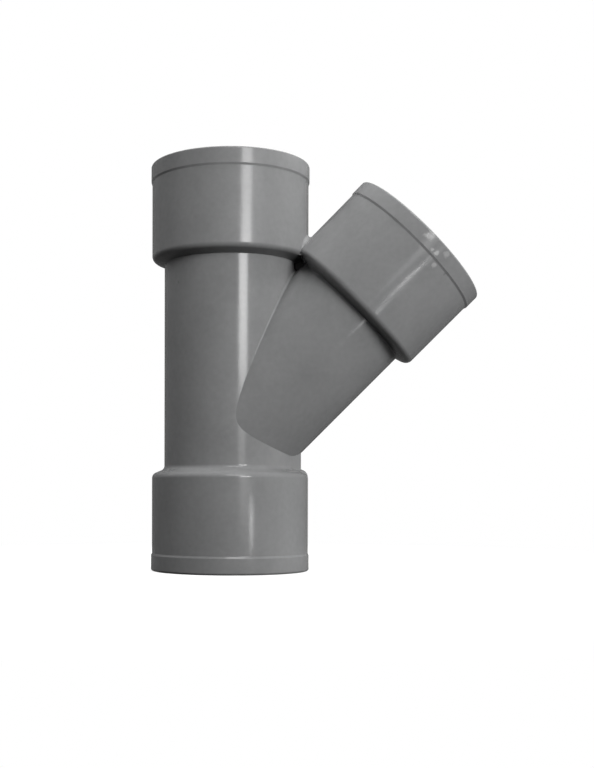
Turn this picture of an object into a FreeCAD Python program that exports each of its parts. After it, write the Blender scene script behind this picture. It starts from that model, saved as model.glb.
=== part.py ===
import FreeCAD, Part
import math
import os

import Sketcher

# A 45 degree lateral wye fitting for 2 inch rigid plastic pipe. It is one injection moulding with three
# solvent-weld sockets: two on the straight run and one on the branch.
# The frame: millimetres, +Z up along the run, the origin at the middle of the lower mouth, and the branch rising
# towards +X.

# Each driving size: its name, its value in millimetres or degrees, and what it measures
SIZES = [
    ("pipe_diameter", 60.3, "outside of the pipe that each socket takes"),
    ("pipe_clearance", 0.2, "play of the pipe in its socket, on the diameter"),
    ("socket_depth", 38.1, "mouth to pipe stop"),
    ("stop_ledge", 5.6, "width of the ring that stops the pipe"),
    ("socket_wall", 5.55, "wall round the pipe"),
    ("body_wall", 5.5, "wall round the waterway"),
    ("lower_laying", 25.6, "lower pipe stop to the point where the axes meet"),
    ("upper_laying", 82.8, "that point to the upper pipe stop"),
    ("branch_laying", 83.6, "that point to the branch's pipe stop"),
    ("branch_angle", 45, "between the run and the branch"),
    ("branch_inset", 0.12, "how much smaller the branch's radii are than the run's"),
    ("rim_proud", 0.45, "how far the band round each mouth stands out"),
    ("rim_taper", 1.6, "length over which a band falls to its socket"),
    ("lower_rim_band", 6.6, "lower mouth to the end of its full band"),
    ("upper_rim_band", 5.9, "the same on the upper socket"),
    ("branch_rim_band", 5.5, "the same on the branch socket"),
    ("mouth_bevel", 0.75, "outer corner of each mouth"),
    ("entry_bevel", 1.2, "bevel at the inner edge of each mouth"),
    ("lower_shoulder", 8.4, "lower pipe stop to the corner of shoulder and body"),
    ("upper_shoulder", 6.6, "the same on the upper socket"),
    ("branch_shoulder", 6.6, "the same on the branch socket"),
    ("lower_slope", 23, "lean of the lower shoulder towards its mouth"),
    ("upper_slope", 18.5, "the same on the upper socket"),
    ("branch_slope", 22, "the same on the branch socket"),
    ("lower_rounding", 3.4, "outer corner of the lower shoulder"),
    ("upper_bevel", 1.15, "the same on the upper socket, whose corner is tight enough to be a bevel"),
    ("branch_rounding", 2.4, "the rounded one on the branch socket"),
    ("lower_fillet", 3.4, "inner corner of the lower shoulder, the only one that is filled"),
    ("heel_reach", 2.1, "how far the heel stands out from the body under the branch"),
    ("heel_angle", 21.5, "how far the heel goes round the run"),
    ("heel_rounding", 4.5, "outer corner of the shoulder at the heel"),
    ("heel_clearance", 0.1, "how far the heel's foot stays inside the lower socket"),
    ("seam_fillet", 0.8, "along the line where the run and the branch meet"),
    ("web_thickness", 4.0, "web that closes the pocket between the two upper sockets"),
    ("web_cover", 5.0, "how far the web's upper edge is sunk below the saddle where those sockets meet"),
    ("cutter_overrun", 2.0, "how far a bore's cut starts outside its mouth"),
]

# Radii and heights that follow from those sizes, as formulas on the sheet
BORE = "(sizes.pipe_diameter + sizes.pipe_clearance) / 2"
BEVEL = f"({BORE} + sizes.entry_bevel)"
WATERWAY = f"({BORE} - sizes.stop_ledge)"
BODY = f"({WATERWAY} + sizes.body_wall)"
SOCKET = f"({BORE} + sizes.socket_wall)"
RIM = f"({SOCKET} + sizes.rim_proud)"
HEEL = f"({BODY} + sizes.heel_reach)"
HEEL_FOOT = f"({SOCKET} - sizes.heel_clearance)"
BRANCH_WATERWAY = f"({WATERWAY} - sizes.branch_inset)"
BRANCH_BODY = f"({BODY} - sizes.branch_inset)"
LOWER_LEG = "(sizes.socket_depth + sizes.lower_laying)"
BRANCH_LEG = "(sizes.branch_laying + sizes.socket_depth)"
TOTAL = f"({LOWER_LEG} + sizes.upper_laying + sizes.socket_depth)"
SADDLE = f"({SOCKET} / sin(sizes.branch_angle / 2))"
WEB_REACH = f"(({SADDLE} - sizes.web_cover) / cos(sizes.branch_angle / 2))"


def size_sheet(doc):
    """The spreadsheet that holds every driving size under its alias."""
    sheet = doc.addObject("Spreadsheet::Sheet", "sizes")
    for row, (name, value, note) in enumerate(SIZES, start=1):
        sheet.set(f"A{row}", name)
        sheet.set(f"B{row}", str(value))
        sheet.set(f"C{row}", note)
        sheet.setAlias(f"B{row}", name)
    doc.recompute()
    return sheet


def value_of(doc, formula):
    """What a formula on the sheet comes to, as a plain number."""
    result = doc.sizes.evalExpression(formula)
    return float(getattr(result, "Value", result))


def leg_sketch(body, name, tilted=False):
    """A sketch in the plane of both axes, with its vertical axis on the run or, tilted, on the branch."""
    plane = next(feature for feature in body.Origin.OriginFeatures if feature.Role == "XZ_Plane")
    sketch = body.newObject("Sketcher::SketchObject", name)
    sketch.AttachmentSupport = [(plane, "")]
    sketch.MapMode = "FlatFace"
    if tilted:
        clockwise = FreeCAD.Rotation(FreeCAD.Vector(0, 0, -1), 1)
        sketch.AttachmentOffset = FreeCAD.Placement(FreeCAD.Vector(), clockwise)
        sketch.setExpression("AttachmentOffset.Rotation.Angle", "sizes.branch_angle")
        sketch.setExpression("AttachmentOffset.Base.y", LOWER_LEG)
    return sketch


def rounded_corner(before, corner, after, radius):
    """The arc that rounds a corner: where it leaves one side and joins the next, its centre, and its turn."""
    back = (before - corner).normalize()
    onward = (after - corner).normalize()
    half_angle = back.getAngle(onward) / 2
    reach = radius / math.tan(half_angle)
    centre = corner + (back + onward).normalize() * (radius / math.sin(half_angle))
    turns_left = (corner - before).cross(after - corner).z > 0
    return corner + back * reach, corner + onward * reach, centre, turns_left


def bind(doc, sketch, kind, element, formula):
    """Sets the first point of an element at the distance from the origin that a formula gives."""
    value = value_of(doc, formula)
    if abs(value) < 1e-9:
        axis = -2 if kind == "DistanceX" else -1
        sketch.addConstraint(Sketcher.Constraint("PointOnObject", element, 1, axis))
        return
    number = sketch.addConstraint(Sketcher.Constraint(kind, -1, 1, element, 1, value))
    sketch.setExpression(f"Constraints[{number}]", formula)


def draw_profile(doc, sketch, corners):
    """Draws the closed outline through corners, each of them formulas for its x, its y and its rounding.

    A sharp corner is where two lines meet. A rounded one is an arc that touches both lines, and a construction
    point holds the place where the two lines would have met.
    """
    places = [FreeCAD.Vector(value_of(doc, x), value_of(doc, y), 0) for x, y, _ in corners]
    arcs = {}
    leaves = list(places)
    arrives = list(places)
    for i, (_, _, rounding) in enumerate(corners):
        if rounding:
            following = places[(i + 1) % len(places)]
            arcs[i] = rounded_corner(places[i - 1], places[i], following, value_of(doc, rounding))
            arrives[i], leaves[i] = arcs[i][0], arcs[i][1]
    lines = []
    for i, start in enumerate(leaves):
        end = arrives[(i + 1) % len(arrives)]
        lines.append(sketch.addGeometry(Part.LineSegment(start, end), False))
    for i, (x, y, rounding) in enumerate(corners):
        before, after = lines[i - 1], lines[i]
        if not rounding:
            sketch.addConstraint(Sketcher.Constraint("Coincident", before, 2, after, 1))
            held = after
        else:
            first, last, centre, turns_left = arcs[i]
            angles = [math.atan2(end.y - centre.y, end.x - centre.x) for end in (first, last)]
            low, high = angles if turns_left else reversed(angles)
            circle = Part.Circle(centre, FreeCAD.Vector(0, 0, 1), value_of(doc, rounding))
            arc = sketch.addGeometry(Part.ArcOfCircle(circle, low, high), False)
            near, far = (1, 2) if turns_left else (2, 1)
            sketch.addConstraint(Sketcher.Constraint("Tangent", before, 2, arc, near))
            sketch.addConstraint(Sketcher.Constraint("Tangent", arc, far, after, 1))
            number = sketch.addConstraint(Sketcher.Constraint("Radius", arc, value_of(doc, rounding)))
            sketch.setExpression(f"Constraints[{number}]", rounding)
            held = sketch.addGeometry(Part.Point(places[i]), True)
            sketch.addConstraint(Sketcher.Constraint("PointOnObject", held, 1, before))
            sketch.addConstraint(Sketcher.Constraint("PointOnObject", held, 1, after))
        bind(doc, sketch, "DistanceX", held, x)
        bind(doc, sketch, "DistanceY", held, y)


def socket_corners(side, mouth, inward, body_radius, bevel=None, rounding=None, fillet=None):
    """The outside of one socket, from the axis at its mouth to the body: rim band, taper, wall and shoulder."""
    def height(distance):
        return f"{mouth} {inward} ({distance})"

    band = f"sizes.{side}_rim_band"
    slope = f"sizes.{side}_slope"
    inner_corner = f"sizes.socket_depth + sizes.{side}_shoulder"
    outer_corner = f"{inner_corner} - ({SOCKET} - {body_radius}) * tan({slope})"
    if bevel:
        shoulder = [
            (SOCKET, height(f"{outer_corner} - {bevel}"), None),
            (f"{SOCKET} - {bevel} * cos({slope})", height(f"{outer_corner} + {bevel} * sin({slope})"), None),
        ]
    else:
        shoulder = [(SOCKET, height(outer_corner), rounding)]
    return [
        ("0", mouth, None),
        (f"{RIM} - sizes.mouth_bevel", mouth, None),
        (RIM, height("sizes.mouth_bevel"), None),
        (RIM, height(band), None),
        (SOCKET, height(f"{band} + sizes.rim_taper"), None),
        *shoulder,
        (body_radius, height(inner_corner), fillet),
    ]


def bore_corners(mouth, inward, waterway_radius):
    """The inside of one socket, from the axis outside its mouth to the waterway: bevel, bore and pipe stop."""
    def height(distance):
        return f"{mouth} {inward} ({distance})"

    return [
        ("0", height("-sizes.cutter_overrun"), None),
        (BEVEL, height("-sizes.cutter_overrun"), None),
        (BEVEL, mouth, None),
        (BORE, height("sizes.entry_bevel"), None),
        (BORE, height("sizes.socket_depth"), None),
        (waterway_radius, height("sizes.socket_depth"), None),
    ]


def turned(body, kind, name, sketch):
    """A full turn of a sketch about its vertical axis, added to the body or cut from it."""
    feature = body.newObject(f"PartDesign::{kind}", name)
    feature.Profile = sketch
    feature.ReferenceAxis = (sketch, ["V_Axis"])
    feature.Angle = 360
    sketch.Visibility = False
    return feature


def seam_edges(shape, socket_radius):
    """Names of the edges where the body of the run meets the body of the branch."""
    names = []
    for number, edge in enumerate(shape.Edges, start=1):
        surfaces = [face.Surface for face in shape.ancestorsOfType(edge, Part.Face)]
        bodies = [item for item in surfaces if isinstance(item, Part.Cylinder) and item.Radius < socket_radius - 0.01]
        if len(bodies) == 2 and bodies[0].Axis.cross(bodies[1].Axis).Length > 0.1:
            names.append(f"Edge{number}")
    return names


def outer_form(doc, body):
    """The solid outside of the moulding: the run, the branch, their seam, and the heel under the branch."""
    run_sketch = leg_sketch(body, "run_outline")
    lower = socket_corners("lower", "0", "+", BODY, rounding="sizes.lower_rounding", fillet="sizes.lower_fillet")
    upper = socket_corners("upper", TOTAL, "-", BODY, bevel="sizes.upper_bevel")
    draw_profile(doc, run_sketch, lower + upper[::-1])
    turned(body, "Revolution", "run_outside", run_sketch)

    branch_sketch = leg_sketch(body, "branch_outline", tilted=True)
    mouth_end = socket_corners("branch", BRANCH_LEG, "-", BRANCH_BODY, rounding="sizes.branch_rounding")
    draw_profile(doc, branch_sketch, [("0", "0", None), (BRANCH_BODY, "0", None)] + mouth_end[::-1])
    union = turned(body, "Revolution", "branch_outside", branch_sketch)
    doc.recompute()

    seam = body.newObject("PartDesign::Fillet", "seam")
    seam.Base = (union, seam_edges(union.Shape, value_of(doc, SOCKET)))
    seam.setExpression("Radius", "sizes.seam_fillet")
    doc.recompute()

    heel_sketch = leg_sketch(body, "heel_outline")
    inner_corner = "sizes.socket_depth + sizes.lower_shoulder"
    fall = f"({HEEL_FOOT} - {HEEL}) * tan(sizes.lower_slope)"
    draw_profile(doc, heel_sketch, [
        ("0", "sizes.socket_depth", None),
        (HEEL_FOOT, "sizes.socket_depth", None),
        (HEEL_FOOT, f"{inner_corner} - {fall}", "sizes.heel_rounding"),
        (HEEL, inner_corner, None),
        (HEEL, LOWER_LEG, None),
        ("0", LOWER_LEG, None),
    ])
    heel = turned(body, "Revolution", "heel", heel_sketch)
    heel.Midplane = True
    heel.setExpression("Angle", "sizes.heel_angle")
    doc.recompute()


def web(doc, body):
    """The web in the plane of both axes that closes the pocket between the upper sockets.

    Its outline is a triangle with two sides on the axes, and the bores take away all but the pocket's part of it.
    """
    sketch = leg_sketch(body, "web_outline")
    draw_profile(doc, sketch, [
        ("0", LOWER_LEG, None),
        (f"{WEB_REACH} * sin(sizes.branch_angle)", f"{LOWER_LEG} + {WEB_REACH} * cos(sizes.branch_angle)", None),
        ("0", f"{LOWER_LEG} + {WEB_REACH}", None),
    ])
    pad = body.newObject("PartDesign::Pad", "pocket_web")
    pad.Profile = sketch
    pad.SideType = "Symmetric"
    pad.setExpression("Length", "sizes.web_thickness")
    sketch.Visibility = False
    doc.recompute()


def bores(doc, body):
    """The two passages: through the run from mouth to mouth, and along the branch into it."""
    run_sketch = leg_sketch(body, "run_bore_outline")
    lower = bore_corners("0", "+", WATERWAY)
    upper = bore_corners(TOTAL, "-", WATERWAY)
    draw_profile(doc, run_sketch, lower + upper[::-1])
    turned(body, "Groove", "run_bore", run_sketch)

    branch_sketch = leg_sketch(body, "branch_bore_outline", tilted=True)
    mouth_end = bore_corners(BRANCH_LEG, "-", BRANCH_WATERWAY)
    draw_profile(doc, branch_sketch, [("0", "0", None), (BRANCH_WATERWAY, "0", None)] + mouth_end[::-1])
    turned(body, "Groove", "branch_bore", branch_sketch)
    doc.recompute()


def check(doc, body):
    """Stops with a plain message if a feature failed, a cut took nothing away, or the shape isn't one solid."""
    failed = [item.Name for item in doc.Objects if {"Invalid", "Error"} & set(item.State)]
    if failed:
        raise RuntimeError(f"these failed: {failed}")
    if body.Shape.isNull() or not body.Shape.isValid() or len(body.Shape.Solids) != 1:
        raise RuntimeError("the fitting isn't one valid solid")
    for cut in (item for item in body.Group if item.TypeId == "PartDesign::Groove"):
        if cut.Shape.Volume >= cut.BaseFeature.Shape.Volume:
            raise RuntimeError(f"{cut.Name} cut nothing")


def main():
    doc = FreeCAD.newDocument("lateral_wye")
    size_sheet(doc)
    body = doc.addObject("PartDesign::Body", "wye_fitting")
    body.Label = "wye_fitting"
    body.Placement = FreeCAD.Placement()
    outer_form(doc, body)
    web(doc, body)
    bores(doc, body)
    check(doc, body)
    os.makedirs("parts", exist_ok=True)
    body.Shape.exportStep(os.path.join("parts", f"{body.Label}.step"))
    print(f"{body.Label}: {body.Shape.Volume / 1000:.1f} cubic centimetres")


main()
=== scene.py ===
import math

import bpy
import numpy as np
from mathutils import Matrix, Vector


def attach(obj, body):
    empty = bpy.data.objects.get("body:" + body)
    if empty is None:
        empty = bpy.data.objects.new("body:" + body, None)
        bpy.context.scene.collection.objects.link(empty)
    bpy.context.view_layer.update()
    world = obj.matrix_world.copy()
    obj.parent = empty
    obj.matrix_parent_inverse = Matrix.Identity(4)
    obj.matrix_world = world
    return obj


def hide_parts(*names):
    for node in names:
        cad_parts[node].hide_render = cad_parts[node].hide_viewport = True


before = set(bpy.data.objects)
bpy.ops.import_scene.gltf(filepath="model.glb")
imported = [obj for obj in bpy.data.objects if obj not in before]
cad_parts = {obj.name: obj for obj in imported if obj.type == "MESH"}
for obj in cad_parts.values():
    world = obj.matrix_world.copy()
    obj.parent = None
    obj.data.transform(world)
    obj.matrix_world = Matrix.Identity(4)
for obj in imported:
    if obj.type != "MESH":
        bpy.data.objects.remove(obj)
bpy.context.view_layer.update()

# A 45 degree lateral wye fitting in grey rigid plastic, standing on the lower mouth of its run.
# Shapes are worked out in millimetres and made in metres, and everything else is in metres.
MM = 0.001
MM_IN_A_METRE = 1000

# How finely round forms are drawn
TURNS = 240
ARC_STEP = math.radians(9)
ARC_STEPS_AT_LEAST = 2

# Radii, and how much the branch's body is narrowed from front to back
BORE = 30.25
WATERWAY = 24.65
BODY = 30.15
SOCKET = 35.8
RIM = 36.25
BRANCH_WATERWAY = 24.53
BRANCH_BODY = 30.03
BRANCH_OVAL = 0.984

# Lengths along the axes. The branch's axis leaves the run's LOWER_LEG above the lower mouth.
SOCKET_DEPTH = 38.1
LOWER_LEG = 63.7
TOTAL = 184.6
BRANCH_LEG = 121.7
TILT = math.radians(45)

# From each pipe stop to the corner of shoulder and body, the shoulder's lean towards its mouth in degrees,
# and how far up its shoulder the filling of the branch's corner reaches
LOWER_SHOULDER = 8.4
UPPER_SHOULDER = 6.5
BRANCH_SHOULDER = 6.6
LOWER_SLOPE = 23
UPPER_SLOPE = 20
BRANCH_SLOPE = 18
BRANCH_FILLET_REACH = 0.2

# The step that ends a rim's band: from the band to the step's edge and foot, and how they are rounded
STEP_EDGE = 0.6
STEP_FOOT = 1.5
STEP_EDGE_ROUNDING = 0.2
STEP_FOOT_ROUNDING = 0.5

# The inside of a socket
CUTTER_OVERRUN = 2
ENTRY_BEVEL = 1.2
BORE_ROUNDING = 0.5
LEDGE_ROUNDING = 0.35

# The heel: its radius and that of its foot, how both are rounded, the turn to each side of it, and how deep
# its edges and its root are sunk in the run
HEEL = 32.6
HEEL_FOOT = 35.7
HEEL_ROUNDING = 0.6
HEEL_FOOT_ROUNDING = 3.4
HEEL_HALF_TURN = math.radians(25)
HEEL_SLICES = 61
HEEL_SUNK = 0.02
HEEL_ROOT = 2.0

# The web between the upper sockets, and how far its upper edge stays below the saddle
WEB_THICKNESS = 4.0
WEB_COVER = 5.0

# The beads that fill the corners of the seams: steps across, how deep their edges and root are sunk, and how
# much deeper the ends of an open bead go, in radii of its ball
BEAD_STEPS = 8
BEAD_SUNK = 0.012
BEAD_ROOT = 1.2
BEAD_END_SUNK = 1.8
SADDLE_HALF_TURN = math.radians(27)

# Shading: the sharpest bend that is smoothed, how far a wall may stray from its cylinder and from square,
# and the radius about an axis within which no wall is looked for
SMOOTH_BEND = math.radians(28)
WALL_SPREAD = 0.02
WALL_LEAN = 0.01
NEAR_AXIS = 1

RUN_FOOT = np.array([0.0, 0.0, 0.0])
RUN_AXIS = np.array([0.0, 0.0, 1.0])
AXES_MEET = np.array([0.0, 0.0, LOWER_LEG])
BRANCH_AXIS = np.array([math.sin(TILT), 0.0, math.cos(TILT)])


# Shape

def rounded_profile(corners):
    """Points of an outline through corners, each (radius, height, rounding) in millimetres.

    A rounding r cuts its corner at r / tan(half the angle between the sides) and is an arc about the point
    at r / sin(half the angle) on their bisector.
    """
    places = np.array([corner[:2] for corner in corners], float)
    points = []
    for i, (_, _, rounding) in enumerate(corners):
        if not rounding:
            points.append(places[i])
            continue
        back = places[i - 1] - places[i]
        onward = places[i + 1] - places[i]
        back /= np.linalg.norm(back)
        onward /= np.linalg.norm(onward)
        bisector = (back + onward) / np.linalg.norm(back + onward)
        half = math.acos(float(np.clip(back @ onward, -1, 1))) / 2
        centre = places[i] + bisector * rounding / math.sin(half)
        x, y = places[i] + back * rounding / math.tan(half) - centre
        sweep = math.pi - 2 * half
        turn = np.sign(x * -bisector[1] - y * -bisector[0])
        steps = max(ARC_STEPS_AT_LEAST, math.ceil(sweep / ARC_STEP))
        angles = turn * np.linspace(0, sweep, steps + 1)
        cos, sin = np.cos(angles), np.sin(angles)
        points.extend(centre + np.stack([x * cos - y * sin, x * sin + y * cos], 1))
    return np.array(points)


def mesh_object(name, points, faces):
    """An object with a mesh of its own, from points in millimetres and rows of corner numbers."""
    mesh = bpy.data.meshes.new(name)
    mesh.from_pydata((points * MM).tolist(), [], [list(map(int, face)) for face in faces])
    mesh.update()
    thing = bpy.data.objects.new(name, mesh)
    bpy.context.scene.collection.objects.link(thing)
    return thing


def grid_quads(rows, columns, round_rows=False):
    """Corner numbers of the quads between rows x columns points, whose rows are rings.

    The last row joins the first where round_rows is asked.
    """
    row, column = np.meshgrid(np.arange(rows - (not round_rows)), np.arange(columns), indexing="ij")
    next_row, next_column = (row + 1) % rows, (column + 1) % columns
    corners = [(row, column), (row, next_column), (next_row, next_column), (next_row, column)]
    return np.stack([i * columns + j for i, j in corners], -1).reshape(-1, 4)


def turned(name, profile, foot, axis, oval_below=-1.0, oval=1.0):
    """A closed body of revolution: foot + axis * h + r * (side * cos a + across * sin a) for each (r, h).

    The profile starts and ends on the axis, where a fan of triangles closes it. Below the height oval_below
    the body is a little oval: across is multiplied by oval there.
    """
    side = np.cross([0.0, 1.0, 0.0], axis)
    across = np.cross(axis, side)
    angles = np.arange(TURNS) * 2 * math.pi / TURNS
    radii, heights = profile[1:-1, 0], profile[1:-1, 1]
    squeeze = np.where(heights < oval_below, oval, 1.0)[:, None, None]
    ring = np.cos(angles)[None, :, None] * side + squeeze * np.sin(angles)[None, :, None] * across
    points = foot + heights[:, None, None] * axis + radii[:, None, None] * ring
    ends = foot + profile[[0, -1], 1][:, None] * axis
    rows = len(radii)
    last_ring = (rows - 1) * TURNS
    fans = []
    for j in range(TURNS):
        k = (j + 1) % TURNS
        fans.append((k, j, rows * TURNS))
        fans.append((last_ring + j, last_ring + k, rows * TURNS + 1))
    points = np.concatenate([points.reshape(-1, 3), ends])
    return mesh_object(name, points, [*grid_quads(rows, TURNS), *fans])


def end_faces(rows, columns):
    """The two faces that close the ends of a tube of rows x columns points."""
    return [list(range(columns)), [(rows - 1) * columns + j for j in reversed(range(columns))]]


def seam_bead(name, run, branch, oval, ball, slices, half_turn=math.pi):
    """The filled corner where a body of the branch meets one of the run, as a closed tube along their seam.

    A ball rolls along outside both: at the angle a round the branch its centre is where the cylinder of
    radius run + ball meets the branch's oval, whose half axes branch and oval * branch are larger by ball.
    The bead's section is the ball's arc from one body to the other, sunk a little, and a point inside the
    wall. A bead that doesn't go all the way round sinks into both walls over the last third of each half.
    """
    whole = half_turn == math.pi
    a = np.linspace(-half_turn, half_turn, slices, endpoint=not whole)
    y = (oval * branch + ball) * np.sin(a)
    x = np.sqrt((run + ball) ** 2 - y ** 2)
    out = (branch + ball) * np.cos(a)
    along = (x + out * math.cos(TILT)) / math.sin(TILT)
    upward = np.array([-math.cos(TILT), 0.0, math.sin(TILT)])
    on_axis = AXES_MEET + along[:, None] * BRANCH_AXIS
    centre = on_axis + out[:, None] * upward + y[:, None] * np.array([0.0, 1.0, 0.0])
    to_run = -np.stack([x, y, np.zeros(slices)], 1) / (run + ball)
    to_branch = (on_axis - centre) / np.linalg.norm(on_axis - centre, axis=1)[:, None]
    opening = np.arccos(np.clip((to_run * to_branch).sum(1), -1, 1))[:, None, None]
    part = np.linspace(0, 1, BEAD_STEPS + 1)[None, :, None]
    arc = np.sin((1 - part) * opening) * to_run[:, None] + np.sin(part * opening) * to_branch[:, None]
    end = np.zeros(slices) if whole else np.clip(np.abs(a) / half_turn * 3 - 2, 0, 1)
    reach = ball + BEAD_SUNK + BEAD_END_SUNK * ball * (3 * end ** 2 - 2 * end ** 3)
    skin = centre[:, None] + reach[:, None, None] * arc / np.sin(opening)
    middle = to_run + to_branch
    middle /= np.linalg.norm(middle, axis=1)[:, None]
    depth = ball / np.cos(opening[:, 0] / 2) + BEAD_ROOT
    points = np.concatenate([skin, (centre + depth * middle)[:, None]], 1)
    columns = points.shape[1]
    faces = [*grid_quads(slices, columns, round_rows=whole)[:, ::-1]]
    if not whole:
        faces.extend(end_faces(slices, columns))
    return mesh_object(name, points.reshape(-1, 3), faces)


def heel_pad(name):
    """The heel under the branch: a strip of the radius HEEL with a flat side to the left and right of it.

    At the angle a from the branch's side the radius is the smaller of HEEL and
    BODY / cos(HEEL_HALF_TURN - |a|), which is the plane that touches the run's wall at HEEL_HALF_TURN, and
    the outline is the full one drawn in to that radius.
    """
    corner = SOCKET_DEPTH + LOWER_SHOULDER
    lean = math.tan(math.radians(LOWER_SLOPE))
    skin = rounded_profile([
        (HEEL_FOOT, SOCKET_DEPTH, None),
        (HEEL_FOOT, corner - (HEEL_FOOT - HEEL) * lean, HEEL_FOOT_ROUNDING),
        (HEEL, corner, HEEL_ROUNDING),
        (HEEL, LOWER_LEG, None),
    ])
    angles = np.linspace(-HEEL_HALF_TURN, HEEL_HALF_TURN, HEEL_SLICES)
    flat_side = BODY / np.cos(HEEL_HALF_TURN - np.abs(angles)) - HEEL_SUNK
    drawn_in = HEEL - np.minimum(HEEL, flat_side)
    radii = skin[None, :, 0] - drawn_in[:, None]
    heights = skin[None, :, 1] - drawn_in[:, None] * lean
    root = np.full((HEEL_SLICES, 1), BODY - HEEL_ROOT)
    radii = np.concatenate([root, radii, root], 1)
    heights = np.concatenate([heights[:, :1], heights, heights[:, -1:]], 1)
    points = np.stack([radii * np.cos(angles)[:, None], radii * np.sin(angles)[:, None], heights], -1)
    columns = radii.shape[1]
    faces = [*grid_quads(HEEL_SLICES, columns)[:, ::-1], *end_faces(HEEL_SLICES, columns)]
    return mesh_object(name, points.reshape(-1, 3), faces)


def pocket_web(name):
    """The web between the upper sockets: a flat triangle with two sides on the axes, below the saddle."""
    saddle = SOCKET / math.sin(TILT / 2)
    reach = (saddle - WEB_COVER) / math.cos(TILT / 2)
    corners = np.array([AXES_MEET, AXES_MEET + reach * BRANCH_AXIS, AXES_MEET + reach * RUN_AXIS])
    half = np.array([0.0, WEB_THICKNESS / 2, 0.0])
    sides = [(i, (i + 1) % 3, (i + 1) % 3 + 3, i + 3) for i in range(3)]
    points = np.concatenate([corners - half, corners + half])
    return mesh_object(name, points, [(2, 1, 0), (3, 4, 5), *sides])


def socket_outline(mouth, inward, body, edge, band, shoulder, slope, rounding, fillet):
    """Corners of one socket's outside, from the axis at its mouth to the body.

    The mouth's edge is rounded, and the rim's band ends in a step.
    """
    fall = (SOCKET - body) * math.tan(math.radians(slope))
    inner = SOCKET_DEPTH + shoulder
    return [
        (0, mouth, None),
        (RIM, mouth, edge),
        (RIM, mouth + inward * (band + STEP_EDGE), STEP_EDGE_ROUNDING),
        (SOCKET, mouth + inward * (band + STEP_FOOT), STEP_FOOT_ROUNDING),
        (SOCKET, mouth + inward * (inner - fall), rounding),
        (body, mouth + inward * inner, fillet),
    ]


def bore_outline(mouth, inward, waterway):
    """Corners of one socket's inside, from the axis outside its mouth to the waterway."""
    return [
        (0, mouth - inward * CUTTER_OVERRUN, None),
        (BORE + ENTRY_BEVEL, mouth - inward * CUTTER_OVERRUN, None),
        (BORE + ENTRY_BEVEL, mouth, None),
        (BORE, mouth + inward * ENTRY_BEVEL, BORE_ROUNDING),
        (BORE, mouth + inward * SOCKET_DEPTH, BORE_ROUNDING),
        (waterway, mouth + inward * SOCKET_DEPTH, LEDGE_ROUNDING),
    ]


def combine(base, tool, operation):
    """Joins a tool's closed mesh to the base's, or cuts it out, and drops the tool."""
    step = base.modifiers.new(operation.lower(), "BOOLEAN")
    step.operation = operation
    step.solver = "EXACT"
    step.object = tool
    bpy.context.view_layer.update()
    made = bpy.data.meshes.new_from_object(base.evaluated_get(bpy.context.evaluated_depsgraph_get()))
    base.modifiers.clear()
    base.data = made
    bpy.data.objects.remove(tool)


def read_numbers(items, what):
    """One whole number for each of a mesh's items."""
    numbers = np.empty(len(items), int)
    items.foreach_get(what, numbers)
    return numbers


def read_vectors(items, what):
    """One vector for each of a mesh's items."""
    numbers = np.empty(len(items) * 3)
    items.foreach_get(what, numbers)
    return numbers.reshape(-1, 3)


def true_walls(mesh, axes):
    """Gives each straight wall the normals of its cylinder, round or oval: of u^2 + (v / oval)^2 = r^2.

    A wall is a face that stands square to an axis and whose corners all have one r. Other faces keep the
    smooth normals that Blender works out.
    """
    corners = read_vectors(mesh.vertices, "co")[read_numbers(mesh.loops, "vertex_index")] / MM
    normals = read_vectors(mesh.corner_normals, "vector")
    starts = read_numbers(mesh.polygons, "loop_start")
    facing = read_vectors(mesh.polygons, "normal")
    order = np.argsort(starts)
    owner = np.repeat(order, read_numbers(mesh.polygons, "loop_total")[order])
    for foot, axis, oval in axes:
        out = corners - foot
        out = out - (out @ axis)[:, None] * axis
        radius = np.linalg.norm(out / [1.0, oval, 1.0], axis=1)
        out = out / [1.0, oval ** 2, 1.0]
        spread = np.maximum.reduceat(radius, starts[order]) - np.minimum.reduceat(radius, starts[order])
        wall = np.zeros(len(mesh.polygons), bool)
        wall[order] = (spread < WALL_SPREAD) & (np.abs(facing[order] @ axis) < WALL_LEAN)
        chosen = wall[owner] & (radius > NEAR_AXIS)
        side = np.sign((facing[owner] * out).sum(1))
        length = np.maximum(np.linalg.norm(out, axis=1), NEAR_AXIS)
        normals[chosen] = (side[:, None] * out / length[:, None])[chosen]
    mesh.normals_split_custom_set(normals.tolist())


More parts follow.
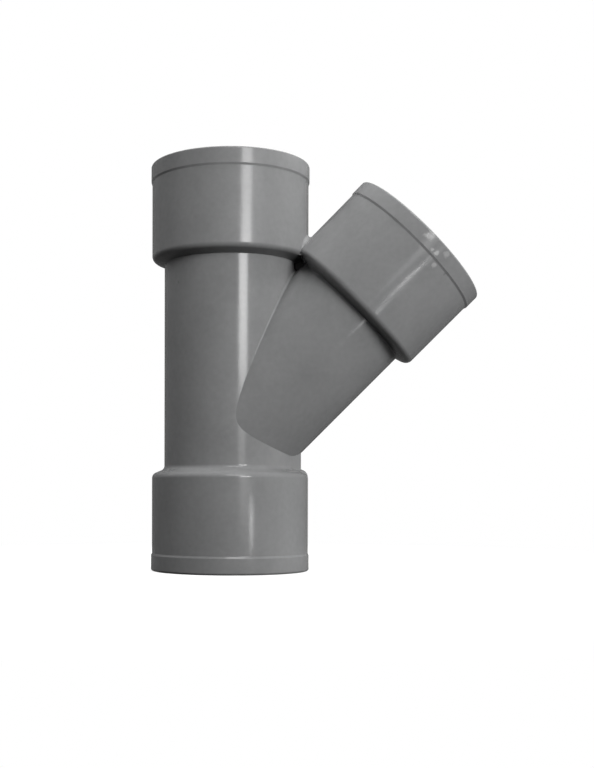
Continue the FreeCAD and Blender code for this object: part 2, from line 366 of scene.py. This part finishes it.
def moulding():
    """The whole fitting's skin: turned bodies, heel, seams and web joined, and both passages cut out."""
    lower = socket_outline(0, 1, BODY, edge=1.1, band=6.6, shoulder=LOWER_SHOULDER, slope=LOWER_SLOPE,
                           rounding=2.7, fillet=2.3)
    upper = socket_outline(TOTAL, -1, BODY, edge=0.7, band=6.4, shoulder=UPPER_SHOULDER, slope=UPPER_SLOPE,
                           rounding=2.4, fillet=0.25)
    piece = turned("wye_moulding", rounded_profile(lower + upper[::-1]), RUN_FOOT, RUN_AXIS)
    combine(piece, heel_pad("heel"), "UNION")

    branch = socket_outline(BRANCH_LEG, -1, BRANCH_BODY, edge=0.8, band=6.1, shoulder=BRANCH_SHOULDER,
                            slope=BRANCH_SLOPE, rounding=3.0, fillet=0.25)
    branch_form = rounded_profile([(0, 0, None), (BRANCH_BODY, 0, None)] + branch[::-1])
    slope_start = BRANCH_LEG - SOCKET_DEPTH - BRANCH_SHOULDER + BRANCH_FILLET_REACH
    branch_outside = turned("branch", branch_form, AXES_MEET, BRANCH_AXIS, slope_start, BRANCH_OVAL)
    combine(piece, branch_outside, "UNION")
    body_bead = seam_bead("body_bead", BODY, BRANCH_BODY, BRANCH_OVAL, ball=0.8, slices=480)
    combine(piece, body_bead, "UNION")
    saddle_bead = seam_bead("saddle_bead", SOCKET, SOCKET, 1.0, ball=1.4, slices=61,
                            half_turn=SADDLE_HALF_TURN)
    combine(piece, saddle_bead, "UNION")
    combine(piece, pocket_web("web"), "UNION")

    run_bore = rounded_profile(bore_outline(0, 1, WATERWAY) + bore_outline(TOTAL, -1, WATERWAY)[::-1])
    combine(piece, turned("run_bore", run_bore, RUN_FOOT, RUN_AXIS), "DIFFERENCE")
    mouth_end = bore_outline(BRANCH_LEG, -1, BRANCH_WATERWAY)
    branch_bore = rounded_profile([(0, 0, None), (BRANCH_WATERWAY, 0, None)] + mouth_end[::-1])
    combine(piece, turned("branch_bore", branch_bore, AXES_MEET, BRANCH_AXIS), "DIFFERENCE")
    piece.data.shade_smooth()
    piece.data.set_sharp_from_angle(angle=SMOOTH_BEND)
    branch_wall = (AXES_MEET, BRANCH_AXIS)
    true_walls(piece.data, [(RUN_FOOT, RUN_AXIS, 1.0), (*branch_wall, 1.0), (*branch_wall, BRANCH_OVAL)])
    return piece


# Material

WHITE = (1, 1, 1, 1)
DARK_PLASTIC = (0.118, 0.119, 0.120, 1)
PALE_PLASTIC = (0.142, 0.143, 0.144, 1)
SPECK_GREY = (0.05, 0.05, 0.05, 1)
# The pale grey of the glints painted on the branch's rim, standing in for highlights
PAINTED_GLINT_GREY = (0.42, 0.42, 0.42, 1)

# How much of the mottling and of the bumps is coarse, the rest being fine, and the noise levels that count
COARSE_IN_MOTTLING = 0.6
COARSE_IN_BUMPS = 0.7
MOTTLING_LOW = 0.3
MOTTLING_HIGH = 0.7
NOISE_MIDDLE = 0.5

# Levels of the speck noise where a speck starts and is full, and how dark it gets
SPECK_START = 0.79
SPECK_FULL = 0.85
SPECK_DEPTH = 0.5

# Glints painted on the branch's rim as small pale spots (painted highlights): millimetres from the mouth,
# degrees round from the front towards the lower side, reach in millimetres and how pale. The core share that
# follows is the part of the reach that is evenly pale, and the ragged width after it is how many millimetres
# fine noise spreads a glint's edge over.
PAINTED_GLINTS = [
    (2.0, 10.0, 2.2, 0.42),
    (2.8, 7.2, 1.5, 0.3),
    (5.1, 17.4, 1.3, 0.32),
    (4.7, 20.2, 1.3, 0.32),
    (2.3, 26.2, 1.6, 0.2),
    (8.7, 25.9, 1.2, 0.25),
]
GLINT_CORE = 0.3
GLINT_RAGGED = 4


class Value:
    """A number that a socket gives, so that shader maths reads as an expression."""

    def __init__(self, shader, socket):
        self.shader = shader
        self.socket = socket

    def __add__(self, other):
        return self.shader.maths("ADD", self, other)

    def __sub__(self, other):
        return self.shader.maths("SUBTRACT", self, other)

    def __mul__(self, other):
        return self.shader.maths("MULTIPLY", self, other)


class Shader:
    """The nodes of one material or world."""

    def __init__(self, holder):
        holder.use_nodes = True
        self.tree = holder.node_tree
        self.tree.nodes.clear()

    def node(self, kind, settings=(), **sockets):
        """Adds a node, makes its settings, then fills its sockets with values or links.

        In a socket's name an underscore is a space, and one that leads a number means the socket of that
        number.
        """
        made = self.tree.nodes.new(kind)
        for name, value in dict(settings).items():
            setattr(made, name, value)
        for name, value in sockets.items():
            place = made.inputs[int(name[1:])] if name[0] == "_" else made.inputs[name.replace("_", " ")]
            if isinstance(value, Value):
                value = value.socket
            if isinstance(value, bpy.types.NodeSocket):
                self.tree.links.new(value, place)
            else:
                place.default_value = value
        return made

    def maths(self, operation, first, second):
        """What an operation makes of two numbers."""
        made = self.node("ShaderNodeMath", {"operation": operation}, _0=first, _1=second)
        return Value(self, made.outputs[0])

    def noise(self, place, scale, detail):
        """Smooth noise from 0 to 1 over a place in metres."""
        made = self.node("ShaderNodeTexNoise", Vector=place, Scale=scale, Detail=detail)
        return Value(self, made.outputs["Fac"])

    def spread(self, value, low, high, to_low=0.0, to_high=1.0, smooth=False):
        """The part of a value between low and high, as a number from to_low to to_high."""
        settings = {"clamp": True, "interpolation_type": "SMOOTHSTEP" if smooth else "LINEAR"}
        made = self.node("ShaderNodeMapRange", settings, Value=value, From_Min=low, From_Max=high,
                         To_Min=to_low, To_Max=to_high)
        return Value(self, made.outputs[0])

    def mixed(self, share, first, second):
        """The colour that holds this share of the second and the rest of the first."""
        made = self.node("ShaderNodeMix", {"data_type": "RGBA"}, Factor=share, A=first, B=second)
        return made.outputs["Result"]

    def mixed_shader(self, share, first, second):
        """The shader that is the second for this share and the first for the rest."""
        return self.node("ShaderNodeMixShader", _0=share, _1=first.outputs[0], _2=second.outputs[0])


def glint_place(from_mouth, degrees_round):
    """A place on the branch's rim where a glint is painted, in metres."""
    a = math.radians(degrees_round)
    front = np.array([0.0, -1.0, 0.0])
    lower_side = np.array([math.cos(TILT), 0.0, -math.sin(TILT)])
    on_axis = AXES_MEET + (BRANCH_LEG - from_mouth) * BRANCH_AXIS
    return tuple((on_axis + RIM * (math.cos(a) * front + math.sin(a) * lower_side)) * MM)


def grey_plastic():
    """Rigid grey plastic as moulded: faintly mottled and specked, slightly uneven, with painted rim glints.
    """
    material = bpy.data.materials.new("grey_plastic")
    s = Shader(material)
    place = s.node("ShaderNodeTexCoord").outputs["Object"]
    cloud = s.noise(place, scale=45, detail=3)
    fine = s.noise(place, scale=420, detail=2)
    speck = s.spread(s.noise(place, scale=260, detail=1), SPECK_START, SPECK_FULL)
    mottling = cloud * COARSE_IN_MOTTLING + fine * (1 - COARSE_IN_MOTTLING)
    tone = s.mixed(s.spread(mottling, MOTTLING_LOW, MOTTLING_HIGH), DARK_PLASTIC, PALE_PLASTIC)
    specked = s.mixed(speck * SPECK_DEPTH, tone, SPECK_GREY)
    # Painted glints: pale spots on the branch's rim that stand in for highlights
    glint_share = 0.0
    for from_mouth, degrees_round, reach, pale in PAINTED_GLINTS:
        spot = glint_place(from_mouth, degrees_round)
        distance = s.node("ShaderNodeVectorMath", {"operation": "DISTANCE"}, _0=place, _1=spot)
        away = Value(s, distance.outputs["Value"]) * MM_IN_A_METRE + (fine - NOISE_MIDDLE) * GLINT_RAGGED
        glint_share = s.spread(away, reach * GLINT_CORE, reach, to_low=pale, to_high=0.0, smooth=True) + glint_share
    with_glints = s.mixed(glint_share, specked, PAINTED_GLINT_GREY)
    rough = s.spread(cloud, MOTTLING_LOW, MOTTLING_HIGH, to_low=0.12, to_high=0.18)
    height = s.noise(place, scale=160, detail=2) * COARSE_IN_BUMPS + fine * (1 - COARSE_IN_BUMPS)
    bump = s.node("ShaderNodeBump", Height=height, Strength=0.03, Distance=0.0004)
    skin = s.node("ShaderNodeBsdfPrincipled", Base_Color=with_glints, Roughness=rough,
                  Normal=bump.outputs["Normal"], IOR=1.5)
    s.node("ShaderNodeOutputMaterial", Surface=skin.outputs["BSDF"])
    return material


piece = moulding()
piece.data.materials.clear()
piece.data.materials.append(grey_plastic())
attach(piece, "root")
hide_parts("wye_fitting")


# Floor, lights and camera

# Half the floor's width in millimetres, and its colour where the shadow is shown
FLOOR_HALF = 4000.0
FLOOR_LIT = (0.8, 0.8, 0.8, 1)

# How much of the lit floor, with the shadow on it, shows up to SHADOW_NEAR from its middle. It has faded out
# at SHADOW_FAR, both in metres.
SHADOW_SHARE = 0.3
SHADOW_NEAR = 0.08
SHADOW_FAR = 0.3

# How bright the white surroundings are in reflections and through glass, and as light on the object
MIRRORED_WHITE = 0.1
WHITE_AS_LIGHT = 0.01


def shown(s):
    """How much of the white surroundings a ray shows.

    The camera sees all of it, and mirrored rays and rays through glass see a part.
    """
    path = s.node("ShaderNodeLightPath")
    other = Value(s, path.outputs["Is Glossy Ray"]) + Value(s, path.outputs["Is Transmission Ray"])
    return s.spread(Value(s, path.outputs["Is Camera Ray"]) + other * MIRRORED_WHITE, 0.0, 1.0)


def pale_floor():
    """White, with the object's shadow kept near it, and dim to the light that bounces off it."""
    material = bpy.data.materials.new("floor_white")
    s = Shader(material)
    place = s.node("ShaderNodeTexCoord").outputs["Object"]
    away = s.node("ShaderNodeVectorMath", {"operation": "LENGTH"}, _0=place).outputs["Value"]
    near = s.spread(away, SHADOW_NEAR, SHADOW_FAR, to_low=SHADOW_SHARE, to_high=0.0, smooth=True)
    lit = s.node("ShaderNodeBsdfDiffuse", Color=FLOOR_LIT)
    dim = s.node("ShaderNodeEmission", Color=WHITE, Strength=WHITE_AS_LIGHT)
    glow = s.node("ShaderNodeEmission", Color=WHITE, Strength=1.0)
    both = s.mixed_shader(shown(s), dim, s.mixed_shader(near, glow, lit))
    s.node("ShaderNodeOutputMaterial", Surface=both.outputs[0])
    return material


def studio_air(world):
    """White to the camera, a tenth of that in reflections, and nearly dark as light on the object."""
    s = Shader(world)
    dim = s.node("ShaderNodeBackground", Color=WHITE, Strength=WHITE_AS_LIGHT)
    white = s.node("ShaderNodeBackground", Color=WHITE, Strength=1.0)
    both = s.mixed_shader(shown(s), dim, white)
    s.node("ShaderNodeOutputWorld", Surface=both.outputs[0])


floor_corners = [(-1, -1, 0), (1, -1, 0), (1, 1, 0), (-1, 1, 0)]
floor = mesh_object("floor", FLOOR_HALF * np.array(floor_corners, float), [(0, 1, 2, 3)])
floor.data.materials.append(pale_floor())

scene = bpy.context.scene
scene.world = bpy.data.worlds.new("studio")
studio_air(scene.world)

CAMERA_PITCH = math.radians(89.73)
CAMERA_ROLL = math.radians(-0.11)
CAMERA_YAW = math.radians(6.52)
MIDDLE = Vector((0.02, 0.0, 0.1))

# Each lamp's name, degrees to the right of the camera, distance, height, width and height of its surface,
# and power in watts. Soft lamps light the fitting and don't show in it, and mirrored ones do both.
SOFT_LAMPS = [
    ("front", 30, 0.6, 0.3, (0.3, 0.2), 4.4),
    ("overhead", 90, 0.15, 0.65, (0.35, 0.35), 7.5),
    ("right", 92, 0.5, 0.06, (0.3, 0.2), 2.2),
    ("right_rear", 120, 0.4, 0.4, (0.35, 0.35), 2.4),
    ("left", -70, 0.6, 0.45, (0.35, 0.35), 0.85),
    ("left_rear", -120, 0.5, 0.5, (0.4, 0.4), 5.0),
    ("rear", 180, 0.6, 0.5, (0.5, 0.5), 4.0),
]
MIRRORED_LAMPS = [
    ("window", 21.8, 1.0, 0.27, (0.25, 0.185), 1.45),
    ("window_top", 23.1, 1.0, 0.46, (0.25, 0.195), 0.95),
    ("window_foot", 19.8, 1.0, 0.09, (0.2, 0.17), 0.19),
    ("second_window", 44.6, 1.0, 0.45, (0.06, 0.2), 0.02),
    ("high_window", 10, 0.6, 0.6, (0.35, 0.3), 1.2),
    ("table_glint", 28.8, 0.49, 0.012, (0.034, 0.018), 0.026),
    ("table_gleam", 33, 0.5, 0.014, (0.05, 0.024), 0.006),
    ("foot_glint", 30.5, 0.345, 0.013, (0.012, 0.022), 0.007),
]


def lamp(name, degrees_right, distance, height, size, power, mirrored):
    """A rectangular soft light that faces the middle of the fitting."""
    data = bpy.data.lights.new(name, "AREA")
    data.shape = "RECTANGLE"
    data.size, data.size_y = size
    data.energy = power
    thing = bpy.data.objects.new(name, data)
    scene.collection.objects.link(thing)
    a = math.radians(degrees_right) + CAMERA_YAW
    thing.location = (math.sin(a) * distance, -math.cos(a) * distance, height)
    thing.rotation_euler = (thing.location - MIDDLE).to_track_quat("Z", "Y").to_euler()
    thing.visible_glossy = mirrored
    thing.visible_camera = False


for row in SOFT_LAMPS:
    lamp(*row, mirrored=False)
for row in MIRRORED_LAMPS:
    lamp(*row, mirrored=True)

camera_data = bpy.data.cameras.new("camera")
camera = bpy.data.objects.new("camera", camera_data)
scene.collection.objects.link(camera)
camera_data.lens = 54.83
camera_data.sensor_width = 36
camera_data.sensor_fit = "AUTO"
camera_data.shift_x = 0.0852
camera_data.shift_y = 0.1490
camera_data.clip_start = 0.01
camera_data.clip_end = 50
camera.location = (0.0619, -0.5350, 0.0356)
camera.rotation_euler = (CAMERA_PITCH, CAMERA_ROLL, CAMERA_YAW)
scene.camera = camera

scene.view_settings.view_transform = "Standard"
